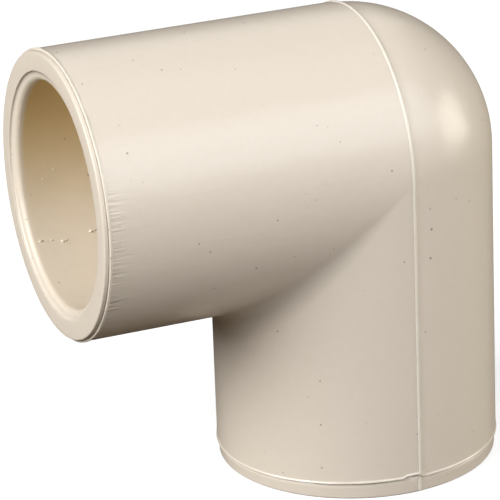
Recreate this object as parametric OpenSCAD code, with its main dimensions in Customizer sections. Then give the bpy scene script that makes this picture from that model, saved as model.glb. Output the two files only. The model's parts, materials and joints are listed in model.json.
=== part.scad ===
// Ninety-degree elbow fitting for 3/4 in copper-tube-size plastic pipe.
// One injection moulding with a solvent-weld socket at each end. +Z is up, the lower arm
// points down and the side arm points along -X. The origin is the middle of the lower socket's
// pipe stop, where the end of the pipe seats.

/* [Pipe] */
// Outside diameter of the pipe that is glued into each socket
pipe_od = 22.225; // [18:0.005:28]
// Gap between the pipe and the socket wall, all round, half way down the tapered socket
pipe_gap = 0.0275; // [0.01:0.0025:0.05]

/* [Sockets] */
// Depth of the side socket, from its end face to the pipe stop
side_depth = 18.2; // [14:0.1:24]
// Depth of the lower socket, from its end face to the pipe stop
lower_depth = 19.0; // [14:0.1:24]
// Plastic left between the pipe stop of one socket and the wall of the other socket
stop_web = 1.9; // [1:0.1:4]
// Depth of the shallow step in each end face
step_depth = 0.25; // [0.1:0.05:0.6]
// Width of that step and the lead-in together, from the socket wall outwards
step_width = 1.0; // [0.7:0.05:1.4]
// Radius of the rounded lead-in at each mouth
lead_in = 0.6; // [0.3:0.05:0.7]

/* [Body] */
// Wall thickness round each socket
wall = 3.1; // [2.4:0.1:4.5]
// Diameter of the waterway between the two pipe stops
waterway_d = 18.2; // [12:0.1:18.6]
// Radius of the blend in the inside corner between the two arms
corner_blend = 3.6; // [1.5:0.1:6]

/* [Mould marks] */
// How much larger the side arm's half of the mould is, on the radius
half_mismatch = 0.05; // [0.03:0.01:0.12]
// Distance of the mould's parting plane behind the lower arm's axis
parting_offset = 0.38; // [0.1:0.01:1]
// Height of the thin flash lines above the wall
flash_height = 0.09; // [0.05:0.01:0.2]
// Width of the thin flash lines
flash_width = 0.22; // [0.1:0.01:0.4]
// Length of the collar between the side mouth and its flash line
side_collar = 0.45; // [0.3:0.05:2]
// Length of the collar between the lower mouth and its flash line
lower_collar = 1.58; // [0.6:0.02:3]
// Step along the lower flash line where the two halves of the mould meet
ring_mismatch = 0.16; // [0:0.01:0.4]
// How much smaller than the wall each collar is, on the radius
collar_relief = 0.12; // [0.05:0.01:0.3]

/* [Hidden] */
$fn = 96;
cream = [0.91, 0.87, 0.80];

socket_r = pipe_od / 2 + pipe_gap;
body_r = socket_r + wall;
side_r = body_r + half_mismatch;
waterway_r = waterway_d / 2;
step_r = socket_r + step_width;
lead_in_r = socket_r + lead_in;
// Distance from the crossing of the two axes to each pipe stop and to each end face
stop_distance = socket_r + stop_web;
side_length = stop_distance + side_depth;
lower_length = stop_distance + lower_depth;
// Cuts run past the faces by this much, and buried edges sit this far below a surface
overrun = 1;
bury = 0.05;
seam_turn = 37;
blend_rings = 20;
blend_steps = 6;

// Turns a shape drawn along +Z from the mouth inwards into the side arm's direction
module at_side_mouth()
    translate([-side_length, 0, 0]) rotate([0, 90, 0]) children();

module at_lower_mouth()
    translate([0, 0, -lower_length]) children();

// Lower arm and the round back of the bend, as one turned shape. It starts on a line that no
// other surface meets, so that its edge never falls along the side arm's.
module lower_arm()
    rotate([0, 0, seam_turn]) rotate_extrude()
        union() {
            translate([0, lower_collar - lower_length])
                square([body_r, lower_length - lower_collar]);
            intersection() {
                circle(r = body_r);
                square([body_r, body_r]);
            }
        }

module side_arm()
    translate([side_collar - side_length, 0, 0]) rotate([0, 90, 0])
        cylinder(r = side_r, h = side_length - side_collar + parting_offset);

// Slightly smaller collar that the end plate of the mould forms at a mouth
module collar(length)
    cylinder(r = body_r - collar_relief, h = length + overrun);

// Thin proud ring where the end plate meets the mould
module flash_ring(at)
    translate([0, 0, at]) cylinder(r = body_r + flash_height, h = flash_width);

// Half of the lower ring, on one side of the parting plane
module half_ring(side)
    intersection() {
        flash_ring(lower_collar - side * ring_mismatch / 2);
        translate([side > 0 ? parting_offset : parting_offset - 2 * body_r, -2 * body_r, 0])
            cube([2 * body_r, 4 * body_r, 2 * lower_collar]);
    }

// Thin proud line over the back of the bend and down both sides of the lower arm
module parting_line()
    translate([parting_offset, 0, 0]) rotate([90, 0, 90])
        linear_extrude(flash_width)
            union() {
                circle(r = side_r + flash_height);
                translate([-body_r - flash_height, -lower_length + lower_collar])
                    square([2 * (body_r + flash_height), lower_length - lower_collar]);
            }

// One cross-section of the corner blend: an arc that a rolling ball leaves between the two
// arms at the turn t round the crease, closed by a point deep inside the plastic
function ball(t) = (body_r + corner_blend) * [-cos(t), sin(t), -cos(t)];
function touch_side(t) = [-(body_r + corner_blend) * cos(t), body_r * sin(t), -body_r * cos(t)];
function touch_lower(t) = [-body_r * cos(t), body_r * sin(t), -(body_r + corner_blend) * cos(t)];
function unit(v) = v / norm(v);
function between(a, b, s) = unit(a * (1 - s) + b * s);
function arc_point(t, s) = ball(t) + (corner_blend + bury)
    * between(unit(touch_side(t) - ball(t)), unit(touch_lower(t) - ball(t)), s);
function deep_point(t) = (socket_r + wall / 2) * [-cos(t), sin(t), -cos(t)];
function blend_section(t) =
    concat([for (i = [0 : blend_steps]) arc_point(t, i / blend_steps)], [deep_point(t)]);

// Web that fills the crease with the rolling-ball blend
module corner_web() {
    count = blend_steps + 2;
    turns = [for (j = [0 : blend_rings]) -86 + 172 * j / blend_rings];
    points = [for (t = turns) each blend_section(t)];
    sides = [for (j = [0 : blend_rings - 1], i = [0 : count - 1])
        let (a = j * count + i, b = j * count + (i + 1) % count)
        each [[a, b, b + count], [a, b + count, a + count]]];
    end = blend_rings * count;
    first_cap = [for (i = [1 : count - 2]) [0, i + 1, i]];
    last_cap = [for (i = [1 : count - 2]) [end, end + i, end + i + 1]];
    polyhedron(points, concat(sides, first_cap, last_cap));
}

// Socket, its rounded lead-in and the shallow step, cut from the mouth inwards
module socket_cut(depth) {
    translate([0, 0, -overrun]) cylinder(r = step_r, h = overrun + step_depth);
    cylinder(r = socket_r, h = depth);
    rotate_extrude()
        difference() {
            square([lead_in_r, step_depth + lead_in]);
            translate([lead_in_r, step_depth + lead_in]) circle(r = lead_in);
        }
}

// Water passage from stop to stop, with a round turn at the crossing
module waterway_cut() {
    rotate_extrude()
        union() {
            translate([0, -stop_distance - overrun])
                square([waterway_r, stop_distance + overrun]);
            intersection() {
                circle(r = waterway_r);
                square([waterway_r, waterway_r]);
            }
        }
    translate([-stop_distance - overrun, 0, 0]) rotate([0, 90, 0])
        cylinder(r = waterway_r - half_mismatch, h = stop_distance + overrun);
}

module elbow_body()
    color(cream)
        translate([0, 0, stop_distance])
            difference() {
                union() {
                    lower_arm();
                    side_arm();
                    corner_web();
                    parting_line();
                    at_side_mouth() {
                        collar(side_collar);
                        flash_ring(side_collar);
                    }
                    at_lower_mouth() {
                        collar(lower_collar);
                        half_ring(1);
                        half_ring(-1);
                    }
                }
                at_side_mouth() socket_cut(side_depth);
                at_lower_mouth() socket_cut(lower_depth);
                waterway_cut();
            }

elbow_body();
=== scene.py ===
# %% [markdown]
# # A moulded plastic pipe elbow
#
# A solvent-weld elbow is one injection moulding: two sockets at a right angle, a round back, and
# the fine raised lines that the mould leaves. Its whole shape follows a rule, so it is built here
# as one closed skin of four-sided faces. The CAD solid that the skin stands for keeps the sizes.

# %% Load the frame
import json
import math

import bmesh
import bpy
from mathutils import Matrix, Vector


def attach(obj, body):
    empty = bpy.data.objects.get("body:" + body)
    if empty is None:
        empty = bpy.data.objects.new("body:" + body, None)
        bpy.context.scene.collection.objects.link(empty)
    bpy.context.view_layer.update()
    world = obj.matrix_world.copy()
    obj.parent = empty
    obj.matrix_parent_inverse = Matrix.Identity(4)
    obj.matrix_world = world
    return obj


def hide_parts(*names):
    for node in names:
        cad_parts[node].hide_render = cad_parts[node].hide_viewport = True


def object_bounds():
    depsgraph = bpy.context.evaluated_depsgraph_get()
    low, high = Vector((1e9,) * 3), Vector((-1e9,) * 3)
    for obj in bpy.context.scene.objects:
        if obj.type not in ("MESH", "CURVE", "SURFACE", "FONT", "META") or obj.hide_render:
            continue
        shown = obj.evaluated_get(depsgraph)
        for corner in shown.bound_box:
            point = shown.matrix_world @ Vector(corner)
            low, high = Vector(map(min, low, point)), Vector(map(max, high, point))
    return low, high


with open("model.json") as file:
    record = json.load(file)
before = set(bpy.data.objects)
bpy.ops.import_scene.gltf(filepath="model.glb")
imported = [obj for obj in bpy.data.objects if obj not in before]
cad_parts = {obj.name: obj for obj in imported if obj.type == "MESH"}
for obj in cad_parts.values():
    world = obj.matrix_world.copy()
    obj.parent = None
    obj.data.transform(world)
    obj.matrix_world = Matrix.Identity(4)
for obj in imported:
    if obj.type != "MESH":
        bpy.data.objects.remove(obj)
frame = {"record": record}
cad_low, cad_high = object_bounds()
MM = 0.001
print("CAD box in mm:", [round(v / MM, 2) for v in (*cad_low, *cad_high)])

# %% [markdown]
# ## Sizes
#
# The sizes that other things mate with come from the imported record: the socket's radius, and where
# each pipe stops. The overall lengths come from the CAD box. The few that only show on the surface
# are set here, in metres.

# %% Sizes from the record and the CAD box
mounts = {m["name"]: m for m in frame["record"]["mounts"]}
FLASH_HEIGHT = 0.09 * MM
SOCKET_R = mounts["lower_socket"]["dims"]["r_mm"] * MM
STOP = -mounts["side_socket"]["pos_m"][0]
CROSSING = Vector((0, 0, mounts["side_socket"]["pos_m"][2]))
SIDE_LENGTH = -cad_low.x
LOWER_LENGTH = CROSSING.z - cad_low.z
BODY_R = cad_high.x - FLASH_HEIGHT
print(f"body radius {BODY_R / MM:.2f}, socket radius {SOCKET_R / MM:.3f}, "
      f"arms {SIDE_LENGTH / MM:.2f} and {LOWER_LENGTH / MM:.2f} mm")

# %% Sizes of the mouths and of the mould's marks
WATERWAY_R = 9.1 * MM
STEP_R = SOCKET_R + 1.0 * MM
STEP_DEPTH = 0.25 * MM
LEAD_IN = 0.6 * MM
CORNER_BLEND = 3.6 * MM
SIDE_COLLAR = 0.45 * MM
LOWER_COLLAR = 1.58 * MM
COLLAR_RELIEF = 0.12 * MM
COLLAR_EDGE = 0.16 * MM
COLLAR_DRAFT = 0.07 * MM
RING_CLEAR = 1.4 * MM
GROOVE_DEPTH = 0.10 * MM
FLASH_WIDTH = 0.26 * MM
PARTING_X = 0.38 * MM
MOULD_MISMATCH = 0.07 * MM

# %% [markdown]
# ## The section
#
# Cut the wall of the fitting along one arm, round the bend and along the other arm, and the cut is
# one closed loop: outside, end face, socket, waterway, and back through the other socket. Each
# point of the loop becomes a ring of the skin, so the loop is kept as a list of rows. A row says
# how far it is from the crossing of the two axes, its radius, and which part of the bend it is in.

# %% Rows of the section
rows = []


def row(radius, length, turn, reach=1.0, blend=0.0, flash=0.0, shift=0.0, groove=0.0, inside=0.0):
    """One ring of the skin. turn is 0 on the side arm and 1 on the lower arm, and runs between
    them in the bend. reach 1 puts the ring square across the arm at `length`, and reach 0 puts
    it where the bend begins. flash, shift and groove say how much of each mould mark it takes."""
    rows.append(dict(radius=radius, length=length, turn=turn, reach=reach, blend=blend,
                     flash=flash, shift=shift, groove=groove, inside=inside))


def arc(centre_length, centre_radius, size, start, end, steps, turn, **more):
    """Rows along a round in the section, from one angle to another, in degrees."""
    for i in range(steps + 1):
        a = math.radians(start + (end - start) * i / steps)
        row(centre_radius + size * math.cos(a), centre_length + size * math.sin(a), turn, **more)


# %% Rows of a collar and its flash
def collar_rows(face, collar, turn, shift):
    """From the rounded outer edge of an end face, over the hollow root and the thin proud flash,
    to the first ring of the plain wall."""
    relief_r = BODY_R - COLLAR_RELIEF
    edge_r = relief_r - COLLAR_DRAFT
    arc(face - COLLAR_EDGE, edge_r - COLLAR_EDGE, COLLAR_EDGE, 90, 0, 4, turn)
    root = face - collar
    length = collar - COLLAR_EDGE
    for across, share in ((0.95, 0.0), (0.6, 0.3), (0.4, 0.5)):
        row(relief_r - COLLAR_DRAFT * across, root + length * across, turn, shift=shift * share)
    for across, depth in ((0.3, 0.1), (0.2, 0.35), (0.12, 0.7), (0.06, 1.0), (0.01, 1.0)):
        row(relief_r, root + across * min(length, 1.2 * MM), turn, shift=shift, groove=depth)
    row(BODY_R - 0.02 * MM, root, turn, shift=shift, flash=0.5, groove=0.01)
    for across, height in ((0.12, 0.85), (0.35, 1.0), (0.60, 0.8), (0.85, 0.3), (1.0, 0.0)):
        row(BODY_R, root - FLASH_WIDTH * across, turn, shift=shift, flash=height)
    row(BODY_R, root - 0.36 * MM, turn, shift=shift)
    row(BODY_R, root - RING_CLEAR, turn)


# %% Rows of a mouth
def mouth_rows(face, turn):
    """From the outer edge of an end face in over the step and the lead-in to the pipe stop."""
    small = 0.05 * MM
    land = BODY_R - COLLAR_RELIEF - COLLAR_DRAFT - COLLAR_EDGE
    for i in range(1, 4):
        row(land + (STEP_R + small - land) * i / 4, face, turn)
    arc(face - small, STEP_R + small, small, 90, 180, 3, turn)
    floor = face - STEP_DEPTH
    row(STEP_R, floor + 0.03 * MM, turn)
    arc(floor - LEAD_IN, SOCKET_R + LEAD_IN, LEAD_IN, 96, 180, 9, turn, inside=0.2)
    top = floor - LEAD_IN
    stop_round = 0.3 * MM
    bottom = STOP + stop_round
    row(SOCKET_R, top - 0.4 * MM, turn, inside=1.0)
    for i in range(1, 9):
        row(SOCKET_R, top + (bottom - top) * i / 8, turn, inside=1.0)
    arc(bottom, SOCKET_R - stop_round, stop_round, 0, -90, 4, turn, inside=1.0)
    arc(STOP - stop_round, WATERWAY_R + stop_round, stop_round, 90, 180, 4, turn, inside=1.0)


# %% The whole loop
STRAIGHT_ROWS = 14
BEND_ROWS = 34
WATER_BLEND = 0.8 * MM


def straight_rows(length, turn, outwards):
    """Rows between a collar and the bend, each a little more slanted towards the bend."""
    shares = [(i + 1) / (STRAIGHT_ROWS + 1) for i in range(STRAIGHT_ROWS)]
    for share in shares if outwards else shares[::-1]:
        row(BODY_R, length, turn, share, CORNER_BLEND)


def reversed_rows(make, *values):
    """Adds what make adds, in the opposite order."""
    first = len(rows)
    make(*values)
    rows[first:] = rows[first:][::-1]


collar_rows(SIDE_LENGTH, SIDE_COLLAR, 0.0, 0.0)
straight_rows(SIDE_LENGTH - SIDE_COLLAR - RING_CLEAR, 0.0, outwards=False)
for i in range(BEND_ROWS + 1):
    row(BODY_R, 0, i / BEND_ROWS, 0.0, CORNER_BLEND)
straight_rows(LOWER_LENGTH - LOWER_COLLAR - RING_CLEAR, 1.0, outwards=True)
reversed_rows(collar_rows, LOWER_LENGTH, LOWER_COLLAR, 1.0, 1.0)
mouth_rows(LOWER_LENGTH, 1.0)
for share in (0.75, 0.5, 0.25):
    row(WATERWAY_R, STOP - 0.3 * MM, 1.0, share, WATER_BLEND, inside=1.0)
for i in range(21):
    row(WATERWAY_R, 0, 1 - i / 20, 0.0, WATER_BLEND, inside=1.0)
for share in (0.25, 0.5, 0.75):
    row(WATERWAY_R, STOP - 0.3 * MM, 0.0, share, WATER_BLEND, inside=1.0)
reversed_rows(mouth_rows, SIDE_LENGTH, 0.0)
print("rows in the section:", len(rows))

# %% [markdown]
# ## Formulas inside a node tree
#
# Geometry Nodes and shaders both work out numbers with Math nodes. Added one node at a time, a
# formula can't be read. With this small class ordinary Python signs add the nodes: `a * b + c`
# makes two Math nodes and links them.

# %% A number inside a node tree
class Num:
    """A socket that ordinary arithmetic works on."""

    def __init__(self, tree, socket):
        self.tree = tree
        self.socket = socket

    def math(self, operation, *others):
        node = self.tree.nodes.new("ShaderNodeMath")
        node.operation = operation
        for slot, value in zip(node.inputs, (self, *others)):
            plug(self.tree, value, slot)
        return Num(self.tree, node.outputs[0])

    def __add__(self, other):
        return self.math("ADD", other)

    def __sub__(self, other):
        return self.math("SUBTRACT", other)

    def __mul__(self, other):
        return self.math("MULTIPLY", other)

    def __truediv__(self, other):
        return self.math("DIVIDE", other)

    def __neg__(self):
        return self.math("MULTIPLY", -1.0)

    def __rsub__(self, other):
        return (-self).math("ADD", other)

    __radd__ = __add__
    __rmul__ = __mul__

    def above(self, limit):
        return self.math("GREATER_THAN", limit)

    def below(self, limit):
        return self.math("LESS_THAN", limit)

    def ramp(self, start, end):
        """0 before start, 1 after end, and a smooth rise between them."""
        node = self.tree.nodes.new("ShaderNodeMapRange")
        node.interpolation_type = "SMOOTHSTEP"
        for slot, value in zip(node.inputs, (self, start, end, 0.0, 1.0)):
            plug(self.tree, value, slot)
        return Num(self.tree, node.outputs[0])


# %% Nodes and links in one line each
def plug(tree, value, slot):
    """Links a Num or a socket into a slot, or sets the slot's own value."""
    if isinstance(value, Num):
        tree.links.new(value.socket, slot)
    elif isinstance(value, bpy.types.NodeSocket):
        tree.links.new(value, slot)
    else:
        slot.default_value = value


def add(tree, kind, inputs=None, **settings):
    """Adds a node, sets its options, and fills its inputs by name or number."""
    node = tree.nodes.new(kind)
    for key, value in settings.items():
        setattr(node, key, value)
    for key, value in (inputs or {}).items():
        plug(tree, value, node.inputs[key])
    return node


def vector(tree, x, y, z):
    return add(tree, "ShaderNodeCombineXYZ", {0: x, 1: y, 2: z}).outputs[0]


def parts(tree, socket):
    node = add(tree, "ShaderNodeSeparateXYZ", {0: socket})
    return [Num(tree, s) for s in node.outputs]


def noise(tree, place, scale=1.0, detail=2.0):
    """A smooth random number near 0.5 at each place."""
    node = add(tree, "ShaderNodeTexNoise", {"Vector": place, "Scale": scale, "Detail": detail})
    return Num(tree, node.outputs[0])


# %% A tree with named inputs
def new_tree(name, kind, numbers, results):
    """A node group with named number inputs. results names its outputs and their kinds."""
    tree = bpy.data.node_groups.new(name, kind)
    if kind == "GeometryNodeTree":
        tree.interface.new_socket("Geometry", in_out="INPUT", socket_type="NodeSocketGeometry")
    for label, value in numbers.items():
        socket_type = "NodeSocketInt" if isinstance(value, int) else "NodeSocketFloat"
        socket = tree.interface.new_socket(label, in_out="INPUT", socket_type=socket_type)
        socket.default_value = value
    for label, socket_type in results.items():
        tree.interface.new_socket(label, in_out="OUTPUT", socket_type=socket_type)
    source = tree.nodes.new("NodeGroupInput")
    values = {label: Num(tree, source.outputs[label]) for label in numbers}
    return tree, source, values


def finish_tree(tree, **results):
    end = tree.nodes.new("NodeGroupOutput")
    for label, value in results.items():
        plug(tree, value, end.inputs[label])


def run_tree(name, mesh, tree, numbers):
    """Runs a Geometry Nodes tree on a mesh and returns the result as a plain mesh object. The
    modifier's inputs go in by identifier, before the object is first evaluated."""
    carrier = bpy.data.objects.new(name + "_carrier", mesh)
    modifier = carrier.modifiers.new("shape", "NODES")
    modifier.node_group = tree
    for item in tree.interface.items_tree:
        if item.in_out == "INPUT" and item.name in numbers:
            modifier[item.identifier] = numbers[item.name]
    bpy.context.scene.collection.objects.link(carrier)
    graph = bpy.context.evaluated_depsgraph_get()
    result = bpy.data.meshes.new_from_object(carrier.evaluated_get(graph), depsgraph=graph)
    result.name = name
    bpy.data.objects.remove(carrier)
    piece = bpy.data.objects.new(name, result)
    bpy.context.scene.collection.objects.link(piece)
    return piece


def check_closed(piece):
    """Turns the piece right side out, and prints its open edges and its volume."""
    bm = bmesh.new()
    bm.from_mesh(piece.data)
    open_edges = sum(1 for e in bm.edges if len(e.link_faces) != 2)
    volume = bm.calc_volume(signed=True)
    bm.free()
    if volume < 0:
        piece.data.flip_normals()
    print(f"{piece.name}: {len(piece.data.polygons)} faces, {open_edges} open edges, "
          f"{abs(volume) / MM ** 3:.2f} mm3")


# %% [markdown]
# ## What moulded surfaces share
#
# The wall, the socket and the flash are the same plastic from the same steel. Each shows a faint
# grain, level scuffs, slow waves where the thick wall sank as it cooled, a fine change of tint, and
# dark specks that sit in tiny pits. One group makes all of it, and each material places it with its
# own values.

# %% The mould_surface group
SCUFF_LENGTH = 4.0 * MM
SCUFF_HEIGHT = 0.625 * MM
SPECK_PIT = 0.015 * MM


def mould_surface_group():
    numbers = {"Grain Size": 1.6 * MM, "Grain Depth": 0.035 * MM, "Wave Size": 7 * MM,
               "Wave Depth": 0.06 * MM, "Tint Size": 0.7 * MM, "Scuff Depth": 0.0035 * MM,
               "Speck Spacing": 1.0 * MM, "Speck Share": 0.3}
    results = {"Height": "NodeSocketFloat", "Tint": "NodeSocketFloat",
               "Specks": "NodeSocketFloat"}
    tree, _, n = new_tree("mould_surface", "ShaderNodeTree", numbers, results)
    place = add(tree, "ShaderNodeTexCoord").outputs["Object"]
    grain = noise(tree, place, n["Grain Size"].math("POWER", -1.0), 3.0) - 0.5
    waves = noise(tree, place, n["Wave Size"].math("POWER", -1.0), 1.0) - 0.5
    tint = noise(tree, place, n["Tint Size"].math("POWER", -1.0), 3.0)
    # Scuffs run level, so their noise is stretched sideways
    x, y, z = parts(tree, place)
    level = vector(tree, x * (1 / SCUFF_LENGTH), y * (1 / SCUFF_LENGTH), z * (1 / SCUFF_HEIGHT))
    scuffs = noise(tree, level, 1.0, 2.0).ramp(0.56, 0.72)
    cells = add(tree, "ShaderNodeTexVoronoi",
                {"Vector": place, "Scale": n["Speck Spacing"].math("POWER", -1.0)})
    chance, size, _ = parts(tree, cells.outputs["Color"])
    reach = size * size * 0.12 + 0.05
    spot = 1.0 - (Num(tree, cells.outputs["Distance"]) / reach).ramp(0.5, 1.0)
    specks = spot * chance.below(n["Speck Share"])
    height = grain * n["Grain Depth"] + waves * n["Wave Depth"] - specks * SPECK_PIT
    height = height + scuffs * n["Scuff Depth"]
    finish_tree(tree, Height=height, Tint=tint, Specks=specks * (size * 0.6 + 0.1))
    return tree


MOULD_SURFACE = mould_surface_group()

# %% [markdown]
# ## Drag marks
#
# When the end plate pulls away from the side mouth it drags the soft edge, and leaves fine scores
# along the arm just behind the flash. They are short and stop raggedly, because noise sets where
# each one ends. They follow the arm's own direction, so the group works in turns round the arm's
# axis and in distance from the mouth.

# %% The drag_marks group
def drag_marks_group():
    numbers = {"Mouth": SIDE_LENGTH, "Axis Height": CROSSING.z, "Longest": 8.0 * MM,
               "Spacing": 0.30 * MM, "Depth": 0.14 * MM}
    tree, _, n = new_tree("drag_marks", "ShaderNodeTree", numbers,
                          {"Height": "NodeSocketFloat"})
    x, y, z = parts(tree, add(tree, "ShaderNodeTexCoord").outputs["Object"])
    turn = (-y).math("ARCTAN2", z - n["Axis Height"])
    round_arm = turn * (BODY_R / MM) * MM / n["Spacing"]
    behind = x + n["Mouth"] - SIDE_COLLAR
    length_here = noise(tree, vector(tree, 0.0, round_arm * 0.5, 3.0), 1.0, 1.0)
    end = (length_here - 0.25) * n["Longest"]
    fade = 1.0 - (behind / end).ramp(0.3, 1.0)
    lines = noise(tree, vector(tree, behind / n["Longest"] * 2.0, round_arm, 0.0), 1.0, 2.0)
    # They lie on the lower near side, where the plate rubbed as it left
    rubbed = turn.ramp(0.9, 1.5) * (1.0 - turn.ramp(2.7, 3.0))
    height = (lines - 0.5) * fade * rubbed * behind.above(0.0) * n["Depth"]
    finish_tree(tree, Height=height)
    return tree


DRAG_MARKS = drag_marks_group()

# %% [markdown]
# ## The three finishes
#
# The outside is satin cream plastic. Light inside a socket bounces from wall to wall and comes out
# yellower each time, most of all on the upper side that direct light hardly reaches. That bounce
# light and shade is painted: the socket's colour turns deeper inwards and towards its upper side.
# Flash is so thin that it looks paler. A colour or gloss that is the same everywhere is set on
# the shader itself.

# %% A finish from its colours and its surface
def finish(name, color, tint_color, speck_color, roughness, surface,
           painted_bounce_color=None, marks=False):
    material = bpy.data.materials.new(name)
    material.use_nodes = True
    tree = material.node_tree
    shader = tree.nodes["Principled BSDF"]
    group = add(tree, "ShaderNodeGroup", node_tree=MOULD_SURFACE)
    for label, value in surface.items():
        group.inputs[label].default_value = value
    tint = Num(tree, group.outputs["Tint"])
    shade = mix_color(tree, tint, (*color, 1), (*tint_color, 1))
    # Painted bounce light and shade: a deeper yellow inwards from the lead-in and towards the upper
    # side
    if painted_bounce_color:
        inside = add(tree, "ShaderNodeAttribute", attribute_name="inside")
        place = add(tree, "ShaderNodeTexCoord").outputs["Object"]
        _, _, z = parts(tree, place)
        painted_shade_height = ((z - CROSSING.z) / SOCKET_R).ramp(-0.85, 0.85)
        deep = Num(tree, inside.outputs["Fac"]).ramp(0.2, 1.0) * painted_shade_height
        shade = mix_color(tree, deep, shade, (*painted_bounce_color, 1))
    shade = mix_color(tree, Num(tree, group.outputs["Specks"]), shade, (*speck_color, 1))
    tree.links.new(shade, shader.inputs["Base Color"])
    shader.inputs["Roughness"].default_value = roughness
    height = Num(tree, group.outputs["Height"])
    if marks:
        scores = add(tree, "ShaderNodeGroup", node_tree=DRAG_MARKS)
        height = height + Num(tree, scores.outputs["Height"])
    bump = add(tree, "ShaderNodeBump", {"Strength": 1.0, "Distance": 1.0, "Height": height})
    tree.links.new(bump.outputs[0], shader.inputs["Normal"])
    shader.inputs["IOR"].default_value = 1.53
    print("finish:", name)
    return material


def mix_color(tree, factor, low, high):
    node = tree.nodes.new("ShaderNodeMix")
    node.data_type = "RGBA"
    plug(tree, factor, node.inputs[0])
    plug(tree, low, node.inputs[6])
    plug(tree, high, node.inputs[7])
    return node.outputs[2]


# %% Outside, socket and flash
OUTSIDE = finish("cream_outside", (0.80, 0.705, 0.59), (0.77, 0.675, 0.55), (0.20, 0.16, 0.11),
                 0.28, {}, marks=True)
# The socket's darker yellow towards its upper side is painted bounce light and shade.
BORE = finish("cream_socket", (0.82, 0.73, 0.59), (0.79, 0.69, 0.55), (0.25, 0.18, 0.10),
              0.36, {"Speck Share": 0.45, "Wave Depth": 0.06 * MM},
              painted_bounce_color=(0.77, 0.56, 0.22))
FLASH = finish("pale_flash", (0.83, 0.76, 0.65), (0.80, 0.72, 0.60), (0.40, 0.33, 0.25),
               0.33, {"Grain Size": 0.2 * MM, "Grain Depth": 0.004 * MM})

# %% [markdown]
# ## The skin
#
# A grid of columns and rows is bent into a closed tube. Every column follows one straight line of
# the side arm, turns through the bend and follows the matching line of the lower arm. On the back
# the turn is part of a sphere; in the inside corner it is the round that a ball leaves as it rolls
# along the crease. Both are the same formula with a different signed ball size.

# %% The section as a mesh that carries its numbers
COLUMNS = 360


def section_mesh():
    mesh = bpy.data.meshes.new("section")
    mesh.from_pydata([(i, 0, 0) for i in range(len(rows))], [], [])
    for key in rows[0]:
        layer = mesh.attributes.new(key, "FLOAT", "POINT")
        layer.data.foreach_set("value", [r[key] for r in rows])
    return mesh


# %% How the lower flash line wanders
# Rises are in mm. Starts are in mm to the right of the lower arm's axis, as seen from the near
# side. The pit's depth is in groove depths.
RING_RISE = 0.16
RING_TILT = 0.37
TAB_START = -1.25
TAB_RISE = 0.20
BREAK_START = 0.5
PIT_START = -0.6
PIT_DEPTH = 3.0


def ring_shift(cosine, sine):
    """How far the flash line stands from its mean height round the lower arm. The front half of
    the mould sat slightly crooked on the end plate, and lifts in a short tab at the joint."""
    across = -cosine * (BODY_R / MM)
    front = 1.0 - (across - PARTING_X / MM).above(0.0)
    crooked = (RING_RISE - cosine * cosine * RING_TILT) * front
    near = (-sine).above(0.0)
    tab = (across - TAB_START).ramp(0.0, 0.08) * front * near * TAB_RISE
    return (crooked + tab) * MM


def flash_gap(cosine, sine):
    """1 along the flash line, and 0 in the short break just past the parting line."""
    across = -cosine * (BODY_R / MM)
    gap = (across - BREAK_START).ramp(0.0, 0.1) * (1.0 - (across - 1.0).ramp(0.0, 0.15))
    return 1.0 - gap * (-sine).above(0.0)


def torn_pit(cosine, sine):
    """A small deep spot under the flash line, just before the parting line."""
    across = -cosine * (BODY_R / MM)
    pit = (across - PIT_START).ramp(0.0, 0.1) * (1.0 - (across + 0.1).ramp(0.0, 0.15))
    return pit * (-sine).above(0.0) * PIT_DEPTH


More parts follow.
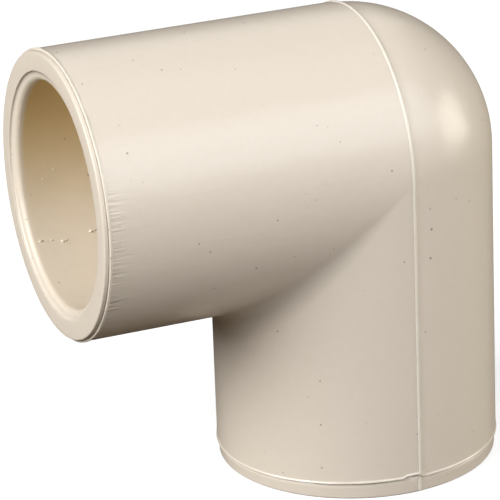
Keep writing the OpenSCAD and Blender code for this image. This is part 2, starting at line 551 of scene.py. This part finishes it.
# %% The tree that bends a grid into the elbow
def elbow_tree():
    numbers = {"Rows": 10, "Columns": 10, "Flash Height": 0.0, "Groove Depth": 0.0,
               "Crossing Height": 0.0, "Parting X": 0.0, "Mismatch": 0.0}
    tree, source, n = new_tree("elbow_skin", "GeometryNodeTree", numbers,
                               {"Geometry": "NodeSocketGeometry"})
    grid = add(tree, "GeometryNodeMeshGrid", {"Size X": n["Rows"], "Size Y": 1.0,
                                              "Vertices X": n["Rows"] + 1,
                                              "Vertices Y": n["Columns"] + 1})
    x, y, _ = parts(tree, add(tree, "GeometryNodeInputPosition").outputs[0])
    index = (x + n["Rows"] * 0.5).math("ROUND").math("MODULO", n["Rows"])
    half_step = n["Columns"].math("POWER", -1.0) * 0.5
    angle = (y + 0.5 + half_step) * (2 * math.pi)

    def sample(key):
        """The number that this grid point's row of the section carries."""
        named = add(tree, "GeometryNodeInputNamedAttribute", {"Name": key}, data_type="FLOAT")
        node = add(tree, "GeometryNodeSampleIndex",
                   {"Geometry": source.outputs["Geometry"], "Value": named.outputs["Attribute"],
                    "Index": index}, data_type="FLOAT", domain="POINT")
        return Num(tree, node.outputs[0])

    cosine = angle.math("COSINE")
    sine = angle.math("SINE")
    inner = cosine.above(0.0)
    shift = sample("shift")
    along = sample("length") - shift * ring_shift(cosine, sine)
    # Flash is thin in places and broken off in others
    place = vector(tree, sine * 9.0, cosine * 9.0, sample("turn") * 7.0)
    ragged = noise(tree, place, 1.0, 3.0) * 1.6 + 0.1
    gap = 1.0 - shift + shift * flash_gap(cosine, sine)
    flash = sample("flash") * gap
    radius = sample("radius") + flash * n["Flash Height"] * ragged
    pit = shift * torn_pit(cosine, sine)
    radius = radius - sample("groove") * n["Groove Depth"] * (ragged + 0.2) * (gap + pit)
    # The ball is the blend's own in the inside corner, and minus the radius on the back
    ball = inner * sample("blend") - (1.0 - inner) * radius
    reach = sample("reach")
    turn = sample("turn")
    bend_end = (radius + ball) * cosine
    straight = bend_end + (along - bend_end) * reach
    # Unit vector from the ball's centre to the skin, part of the way round the turn
    ux = turn * cosine
    uy = -sine
    uz = (1.0 - turn) * cosine
    length = (ux * ux + uy * uy + uz * uz).math("SQRT")
    bend_x = ball * ux / length - bend_end
    bend_y = (radius + ball) * sine + ball * uy / length
    bend_z = ball * uz / length - bend_end
    # Off the bend, the straight part of one arm replaces the turn
    on_lower = turn.above(0.9999) * reach.above(0.0)
    on_side = turn.below(0.0001) * reach.above(0.0)
    in_bend = 1.0 - on_lower - on_side
    px = in_bend * bend_x - on_side * straight - on_lower * radius * cosine
    py = in_bend * bend_y + (on_side + on_lower) * radius * sine
    pz = in_bend * bend_z - on_side * radius * cosine - on_lower * straight
    # Past the parting plane the back half of the mould was a shade smaller
    outer = sample("radius").ramp(STEP_R + 0.6 * MM, BODY_R - 0.3 * MM)
    smaller = (px - n["Parting X"]).ramp(0.0, 0.7 * MM) * outer * n["Mismatch"] / BODY_R
    keep = 1.0 - smaller
    above = pz.above(0.0)
    pz = pz * (1.0 - smaller * above) + n["Crossing Height"]
    carried = grid.outputs["Mesh"]
    for label, value in (("inside", sample("inside")), ("flash", flash)):
        carried = add(tree, "GeometryNodeStoreNamedAttribute",
                      {"Geometry": carried, "Name": label, "Value": value},
                      data_type="FLOAT", domain="POINT").outputs[0]
    placed = add(tree, "GeometryNodeSetPosition",
                 {"Geometry": carried, "Position": vector(tree, px * keep, py * keep, pz)})
    closed = add(tree, "GeometryNodeMergeByDistance", {"Geometry": placed.outputs[0],
                                                       "Distance": 1e-6})
    smooth = add(tree, "GeometryNodeSetShadeSmooth", {"Geometry": closed.outputs[0]})
    real = add(tree, "GeometryNodeRealizeInstances", {"Geometry": smooth.outputs[0]})
    painted = add(tree, "GeometryNodeSetMaterial", {"Geometry": real.outputs[0],
                                                    "Material": OUTSIDE}).outputs[0]
    for label, limit, material in (("inside", 0.1, BORE), ("flash", 0.25, FLASH)):
        number = add(tree, "GeometryNodeInputNamedAttribute", {"Name": label}, data_type="FLOAT")
        chosen = Num(tree, number.outputs["Attribute"]).above(limit)
        painted = add(tree, "GeometryNodeSetMaterial", {"Geometry": painted, "Selection": chosen,
                                                        "Material": material}).outputs[0]
    finish_tree(tree, Geometry=painted)
    return tree


# %% Make the skin
skin = run_tree("elbow_skin", section_mesh(), elbow_tree(),
                {"Rows": len(rows), "Columns": COLUMNS, "Flash Height": FLASH_HEIGHT,
                 "Groove Depth": GROOVE_DEPTH, "Crossing Height": CROSSING.z,
                 "Parting X": PARTING_X, "Mismatch": MOULD_MISMATCH})
check_closed(skin)
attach(skin, "root")
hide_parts("elbow_body")

# %% [markdown]
# ## The parting line
#
# Where the two halves of the mould meet, a thin bead of plastic squeezes out. It runs up the near
# side of the lower arm, over the back of the bend and down the far side. It follows a path, so a
# curve is laid along the parting plane and a small round profile is swept along it. The bead is
# sunk in the wall so that only its top shows, and noise makes it thick, thin and nicked.

# %% The tree that sweeps the bead
def bead_tree():
    numbers = {"Points": 800, "Plane X": 0.0, "Path Radius": 0.0, "Straight": 0.0,
               "Crossing Height": 0.0, "Bead Radius": 0.0, "Collar": 0.0, "Relief": 0.0,
               "Nicks": 0.3}
    tree, _, n = new_tree("parting_bead", "GeometryNodeTree", numbers,
                          {"Geometry": "NodeSocketGeometry"})
    line = add(tree, "GeometryNodeCurvePrimitiveLine", {"Start": (0, 0, 0), "End": (1, 0, 0)})
    dense = add(tree, "GeometryNodeResampleCurve",
                {"Curve": line.outputs[0], "Count": n["Points"]})
    share, _, _ = parts(tree, add(tree, "GeometryNodeInputPosition").outputs[0])
    arc_length = n["Path Radius"] * math.pi
    distance = share * (n["Straight"] * 2.0 + arc_length)
    angle = ((distance - n["Straight"]) / n["Path Radius"]).math("MAXIMUM", 0.0)
    angle = angle.math("MINIMUM", math.pi)
    before = (n["Straight"] - distance).math("MAXIMUM", 0.0)
    after = (distance - n["Straight"] - arc_length).math("MAXIMUM", 0.0)
    drop = before + after
    in_collar = (drop - n["Straight"] + n["Collar"]).ramp(-0.1 * MM, 0.05 * MM)
    radius = n["Path Radius"] - in_collar * n["Relief"]
    y = -(angle.math("COSINE")) * radius
    z = angle.math("SINE") * radius - drop + n["Crossing Height"]
    wander = noise(tree, vector(tree, distance / (2.5 * MM), 1.0, 0.0), 1.0, 2.0) - 0.5
    x = n["Plane X"] + wander * (0.05 * MM)
    laid = add(tree, "GeometryNodeSetPosition", {"Geometry": dense.outputs[0],
                                                 "Position": vector(tree, x, y, z)})
    thick = noise(tree, vector(tree, distance / (1.1 * MM), 5.0, 0.0), 1.0, 3.0)
    nick = noise(tree, vector(tree, distance / (0.45 * MM), 9.0, 0.0), 1.0, 0.0)
    size = 0.80 + thick * 0.40 - nick.ramp(0.70, 0.80) * n["Nicks"]
    sized = add(tree, "GeometryNodeSetCurveRadius", {"Curve": laid.outputs[0], "Radius": size})
    profile = add(tree, "GeometryNodeCurvePrimitiveCircle",
                  {"Resolution": 12, "Radius": n["Bead Radius"]})
    sweep = {"Curve": sized.outputs[0], "Profile Curve": profile.outputs[0], "Fill Caps": True}
    swept = add(tree, "GeometryNodeCurveToMesh", sweep)
    if "Scale" in swept.inputs:
        plug(tree, size, swept.inputs["Scale"])
    smooth = add(tree, "GeometryNodeSetShadeSmooth", {"Geometry": swept.outputs[0]})
    real = add(tree, "GeometryNodeRealizeInstances", {"Geometry": smooth.outputs[0]})
    done = add(tree, "GeometryNodeSetMaterial", {"Geometry": real.outputs[0], "Material": FLASH})
    finish_tree(tree, Geometry=done.outputs[0])
    return tree


# %% Make the bead
BEAD_R = 0.21 * MM
BEAD_RISE = 0.10 * MM
path_r = math.sqrt(BODY_R ** 2 - PARTING_X ** 2) + BEAD_RISE - BEAD_R
bead = run_tree("parting_bead", bpy.data.meshes.new("empty"), bead_tree(),
                {"Points": 800, "Plane X": PARTING_X, "Path Radius": path_r,
                 "Straight": LOWER_LENGTH - 0.2 * MM, "Crossing Height": CROSSING.z,
                 "Bead Radius": BEAD_R, "Collar": LOWER_COLLAR, "Relief": COLLAR_RELIEF,
                 "Nicks": 0.3})
check_closed(bead)
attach(bead, "root")

# %% [markdown]
# ## Nibs in the socket
#
# A few nibs of plastic stand on the socket wall, where the core pin was scored. They are one small
# round shape set on several places, so points carry the places and Geometry Nodes set a copy on
# each. A place is a depth from the mouth and an angle round the socket from the top.

# %% Places and sizes of the nibs
NIBS = [(1.4, 132.5, 0.12, 2.0), (2.0, 132.8, 0.05, 3.0), (2.5, 133.0, 0.08, 2.0),
        (3.6, 134.6, 0.17, 1.1), (3.9, 134.4, 0.12, 1.2), (6.7, 132.0, 0.17, 1.1),
        (7.1, 131.5, 0.10, 1.5), (9.5, 137.0, 0.08, 1.0), (2.9, 101.0, 0.07, 1.2),
        (4.1, 97.0, 0.08, 1.4), (4.4, 99.0, 0.06, 1.0), (3.3, 94.0, 0.06, 1.0)]


def nib_points():
    """Points that carry a place, an outward angle, a size and a length for each nib."""
    mesh = bpy.data.meshes.new("nib_points")
    places = []
    for depth, turn, _, _ in NIBS:
        a = math.radians(turn)
        places.append((depth * MM - SIDE_LENGTH, SOCKET_R * math.sin(a),
                       CROSSING.z + SOCKET_R * math.cos(a)))
    mesh.from_pydata(places, [], [])
    for key, column in (("turn", 1), ("size", 2), ("stretch", 3)):
        layer = mesh.attributes.new(key, "FLOAT", "POINT")
        layer.data.foreach_set("value", [nib[column] for nib in NIBS])
    return mesh


# %% The tree that sets a nib on each point
def nib_tree():
    tree, source, n = new_tree("socket_nibs", "GeometryNodeTree", {"Unit": MM},
                               {"Geometry": "NodeSocketGeometry"})
    named = {}
    for key in ("turn", "size", "stretch"):
        node = add(tree, "GeometryNodeInputNamedAttribute", {"Name": key}, data_type="FLOAT")
        named[key] = Num(tree, node.outputs["Attribute"])
    ball = add(tree, "GeometryNodeMeshIcoSphere", {"Radius": n["Unit"], "Subdivisions": 3})
    where = add(tree, "GeometryNodeInputPosition").outputs[0]
    lump = noise(tree, where, 1.3 / MM, 1.0) * 0.9 + 0.55
    lumpy = add(tree, "ShaderNodeVectorMath", {0: where}, operation="SCALE")
    plug(tree, lump, lumpy.inputs["Scale"])
    shaped = add(tree, "GeometryNodeSetPosition", {"Geometry": ball.outputs["Mesh"],
                                                   "Position": lumpy.outputs[0]})
    smooth = add(tree, "GeometryNodeSetShadeSmooth", {"Geometry": shaped.outputs[0]})
    facing = vector(tree, named["turn"] * (-math.pi / 180), 0.0, 0.0)
    turned = add(tree, "FunctionNodeEulerToRotation", {0: facing})
    scale = vector(tree, named["size"] * named["stretch"], named["size"], named["size"])
    copies = add(tree, "GeometryNodeInstanceOnPoints",
                 {"Points": source.outputs["Geometry"], "Instance": smooth.outputs[0],
                  "Rotation": turned.outputs[0], "Scale": scale})
    real = add(tree, "GeometryNodeRealizeInstances", {"Geometry": copies.outputs[0]})
    done = add(tree, "GeometryNodeSetMaterial", {"Geometry": real.outputs[0], "Material": FLASH})
    finish_tree(tree, Geometry=done.outputs[0])
    return tree


nibs = run_tree("socket_nibs", nib_points(), nib_tree(), {"Unit": MM})
check_closed(nibs)
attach(nibs, "root")

# %% [markdown]
# ## The studio
#
# Soft boxes stand round the part, 0.6 m away. The floor is white paper for the camera, with
# a soft contact shadow, but it throws little light upwards, as paper does when it is far below.

# %% Floor
def floor_material():
    material = bpy.data.materials.new("studio_floor")
    material.use_nodes = True
    tree = material.node_tree
    tree.nodes.remove(tree.nodes["Principled BSDF"])
    seen = Num(tree, add(tree, "ShaderNodeLightPath").outputs["Is Camera Ray"])
    paper = mix_color(tree, seen, (0.07, 0.05, 0.03, 1), (0.62, 0.62, 0.62, 1))
    diffuse = add(tree, "ShaderNodeBsdfDiffuse", {"Color": paper})
    glow = add(tree, "ShaderNodeEmission", {"Color": (1, 1, 1, 1), "Strength": seen * 0.62})
    both = add(tree, "ShaderNodeAddShader", {0: diffuse.outputs[0], 1: glow.outputs[0]})
    end = tree.nodes["Material Output"]
    tree.links.new(both.outputs[0], end.inputs["Surface"])
    return material


def make_floor():
    size = 3.0
    z = cad_low.z - 0.02 * MM
    mesh = bpy.data.meshes.new("floor")
    mesh.from_pydata([(-size, -size, z), (size, -size, z), (size, size, z), (-size, size, z)],
                     [], [(0, 1, 2, 3)])
    mesh.materials.append(floor_material())
    floor = bpy.data.objects.new("floor", mesh)
    bpy.context.scene.collection.objects.link(floor)


make_floor()

# %% Soft boxes
# Each row: name, direction it comes from (azimuth, elevation), width, height, power, colour
LIGHTS = [("front_box", 28, 33, 0.55, 0.39, 1.70, (0.94, 1.0, 1.10)),
          ("left_box", -76, 30, 0.50, 0.40, 5.0, (0.99, 1.0, 1.02)),
          ("low_box", 38, 8, 0.50, 0.40, 0.42, (1.03, 0.99, 0.92)),
          ("right_box", 72, 10, 0.30, 0.30, 1.6, (1.05, 0.98, 0.86)),
          ("back_box", 150, 40, 0.40, 0.30, 0.28, (1.05, 1.0, 0.90))]
LIGHT_DISTANCE = 0.6


def direction(azimuth, elevation):
    """From the part towards a light or camera. Azimuth 0 is the side that faces -Y."""
    a, e = math.radians(azimuth), math.radians(elevation)
    return Vector((math.sin(a) * math.cos(e), -math.cos(a) * math.cos(e), math.sin(e)))


for name, azimuth, elevation, width, height, power, color in LIGHTS:
    data = bpy.data.lights.new(name, "AREA")
    data.shape = "RECTANGLE"
    data.size, data.size_y = width, height
    data.energy, data.color = power, color
    light = bpy.data.objects.new(name, data)
    back = direction(azimuth, elevation)
    light.matrix_world = (Matrix.Translation(back * LIGHT_DISTANCE)
                          @ back.to_track_quat("Z", "Y").to_matrix().to_4x4())
    bpy.context.scene.collection.objects.link(light)

# %% Background
WORLD_LIGHT = 0.01
world = bpy.data.worlds.new("studio")
bpy.context.scene.world = world
world.use_nodes = True
background = world.node_tree.nodes["Background"]
seen = Num(world.node_tree, add(world.node_tree, "ShaderNodeLightPath").outputs["Is Camera Ray"])
plug(world.node_tree, seen * (1.0 - WORLD_LIGHT) + WORLD_LIGHT, background.inputs["Strength"])
background.inputs["Color"].default_value = (1.0, 0.98, 0.95, 1)
bpy.context.scene.view_settings.view_transform = "Standard"

# %% [markdown]
# ## The camera
#
# A long lens stands a third of a metre away, so the arms hardly converge. Its place is worked out
# from the part's own radius, and the aim is moved a little left and down to frame both arms.

# %% Camera
CAMERA_AZIMUTH, CAMERA_ELEVATION, CAMERA_ROLL = -22.37, 20.62, -2.22
CAMERA_DISTANCE = 23.68 * BODY_R
CAMERA_LENS = 245.4
AIM_RIGHT = -0.4206 * BODY_R
AIM_UP = -0.4011 * BODY_R


def make_camera():
    back = direction(CAMERA_AZIMUTH, CAMERA_ELEVATION)
    level_right = (-back).cross(Vector((0, 0, 1))).normalized()
    level_up = level_right.cross(-back)
    roll = math.radians(CAMERA_ROLL)
    right = level_right * math.cos(roll) + level_up * math.sin(roll)
    up = level_up * math.cos(roll) - level_right * math.sin(roll)
    middle = CROSSING + Vector((-0.3, 0, -0.3)) * BODY_R
    place = middle + right * AIM_RIGHT + up * AIM_UP + back * CAMERA_DISTANCE
    data = bpy.data.cameras.new("camera")
    data.lens, data.sensor_width = CAMERA_LENS, 36
    data.clip_start, data.clip_end = 0.01, 10
    camera = bpy.data.objects.new("camera", data)
    bpy.context.scene.collection.objects.link(camera)
    camera.matrix_world = Matrix.Translation(place) @ Matrix((right, up, back)).transposed().to_4x4()
    bpy.context.scene.camera = camera


make_camera()
